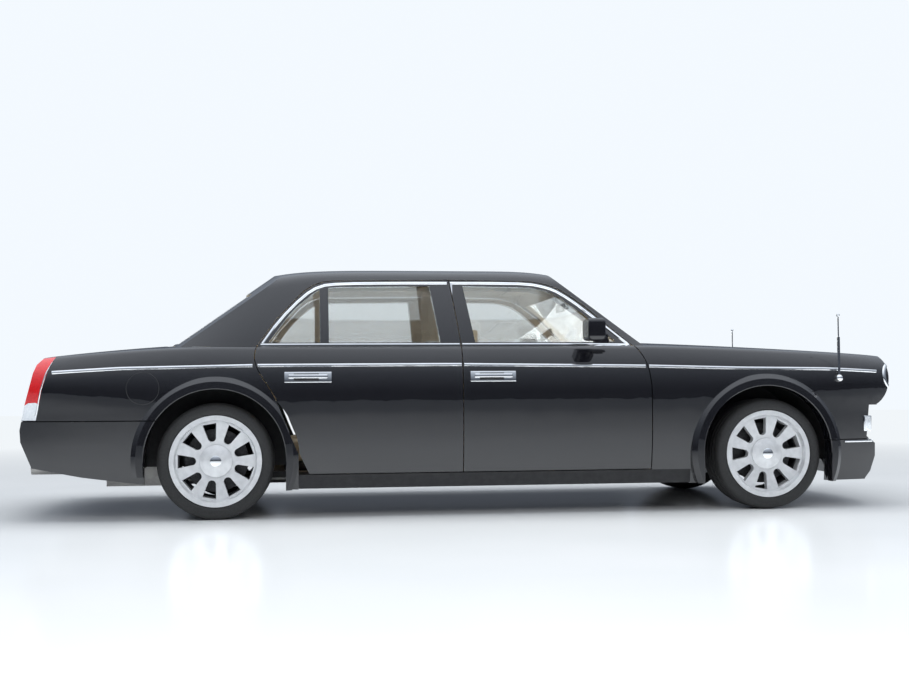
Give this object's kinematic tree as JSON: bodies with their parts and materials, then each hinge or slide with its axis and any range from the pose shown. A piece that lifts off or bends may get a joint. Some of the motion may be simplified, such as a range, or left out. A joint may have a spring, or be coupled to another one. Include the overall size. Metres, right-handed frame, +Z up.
{
  "type": "luxury sedan",
  "caption": "Full-size four-door luxury limousine sedan with hollow cabin, opening doors, hood and boot lid, coupled steering and freely turning wheels",
  "frame": {"origin": "on the ground at the centre of the bounding box", "axes": "+X points to the front of the car, +Y to its left side, +Z up"},
  "size_m": [5.5546, 2.294, 1.5659],
  "materials": {
    "black_paint": "gloss black paint",
    "dark_trim": "satin black plastic",
    "bright": "polished bright metal",
    "clear_glass": "lightly green-tinted glass",
    "lamp_clear": "clear lamp lens",
    "lamp_red": "red lamp lens",
    "wheel_silver": "satin silver alloy",
    "tyre": "black rubber",
    "beige_leather": "beige leather",
    "beige_trim": "soft beige and brown trim",
    "steel_dark": "dark steel",
    "cast": "cast metal",
    "floor_dark": "dark underbody coating"
  },
  "bodies": {
    "car_body": {"centre_pillars": "beige_trim", "dashboard": "beige_trim", "engine": "cast", "exhaust": "steel_dark", "firewall": "black_paint", "flag_poles": "bright", "floor": "floor_dark", "front_bumper": "black_paint", "front_fenders": "black_paint", "front_seats": "beige_leather", "front_subframe": "cast", "grille": "bright", "headlamps": "lamp_clear", "lower_lamps": "lamp_clear", "rear_bulkhead": "floor_dark", "rear_bumper": "black_paint", "rear_quarters": "black_paint", "rear_seat": "beige_leather", "rear_subframe": "cast", "rear_window": "clear_glass", "roof": "black_paint", "steering_wheel": "dark_trim", "tail_lamps": "lamp_red", "wheelhouses": "floor_dark", "windscreen": "clear_glass"},
    "hood": {"hood": "black_paint"},
    "boot_lid": {"boot_lid": "black_paint"},
    "door_front_right": {"front_door_right": "black_paint", "front_door_glass_right": "clear_glass", "mirror_right": "black_paint"},
    "door_front_left": {"front_door_left": "black_paint", "front_door_glass_left": "clear_glass", "mirror_left": "black_paint"},
    "door_rear_right": {"rear_door_right": "black_paint", "rear_door_glass_right": "clear_glass"},
    "door_rear_left": {"rear_door_left": "black_paint", "rear_door_glass_left": "clear_glass"},
    "steer_right": {"knuckle_right": "cast"},
    "steer_left": {"knuckle_left": "cast"},
    "wheel_front_right": {"rim_front_right": "wheel_silver", "tyre_front_right": "tyre"},
    "wheel_front_left": {"rim_front_left": "wheel_silver", "tyre_front_left": "tyre"},
    "wheel_rear_right": {"rim_rear_right": "wheel_silver", "tyre_rear_right": "tyre"},
    "wheel_rear_left": {"rim_rear_left": "wheel_silver", "tyre_rear_left": "tyre"}
  },
  "joints": [
    {"name": "front_right_door_hinge", "type": "hinge", "parent": "car_body", "child": "door_front_right", "pos_m": [1.129, -0.997, 0.6], "axis": [0, 0, 1], "range_deg": [0, 68]},
    {"name": "front_left_door_hinge", "type": "hinge", "parent": "car_body", "child": "door_front_left", "pos_m": [1.129, 0.997, 0.6], "axis": [0, 0, -1], "range_deg": [0, 68]},
    {"name": "rear_right_door_hinge", "type": "hinge", "parent": "car_body", "child": "door_rear_right", "pos_m": [-0.062, -0.997, 0.6], "axis": [0, 0, 1], "range_deg": [0, 68]},
    {"name": "rear_left_door_hinge", "type": "hinge", "parent": "car_body", "child": "door_rear_left", "pos_m": [-0.062, 0.997, 0.6], "axis": [0, 0, -1], "range_deg": [0, 68]},
    {"name": "hood_hinge", "type": "hinge", "parent": "car_body", "child": "hood", "pos_m": [1.16, 0, 1.086], "axis": [0, -1, 0], "range_deg": [0, 55]},
    {"name": "boot_lid_hinge", "type": "hinge", "parent": "car_body", "child": "boot_lid", "pos_m": [-1.82, 0, 1.078], "axis": [0, 1, 0], "range_deg": [0, 75]},
    {"name": "steering_right", "type": "hinge", "parent": "car_body", "child": "steer_right", "pos_m": [1.885, -0.72, 0.348], "axis": [0, 0, 1], "range_deg": [-35, 35]},
    {"name": "steering_left", "type": "hinge", "parent": "car_body", "child": "steer_left", "pos_m": [1.885, 0.72, 0.348], "axis": [0, 0, 1], "range_deg": [-35, 35]},
    {"name": "front_right_wheel_spin", "type": "hinge", "parent": "steer_right", "child": "wheel_front_right", "pos_m": [1.885, -0.82, 0.348], "axis": [0, 1, 0], "continuous": true},
    {"name": "front_left_wheel_spin", "type": "hinge", "parent": "steer_left", "child": "wheel_front_left", "pos_m": [1.885, 0.82, 0.348], "axis": [0, 1, 0], "continuous": true},
    {"name": "rear_right_wheel_spin", "type": "hinge", "parent": "car_body", "child": "wheel_rear_right", "pos_m": [-1.55, -0.82, 0.348], "axis": [0, 1, 0], "continuous": true},
    {"name": "rear_left_wheel_spin", "type": "hinge", "parent": "car_body", "child": "wheel_rear_left", "pos_m": [-1.55, 0.82, 0.348], "axis": [0, 1, 0], "continuous": true}
  ],
  "couplings": [
    {"joint": "steering_left", "follows": "steering_right", "ratio": 1}
  ]
}
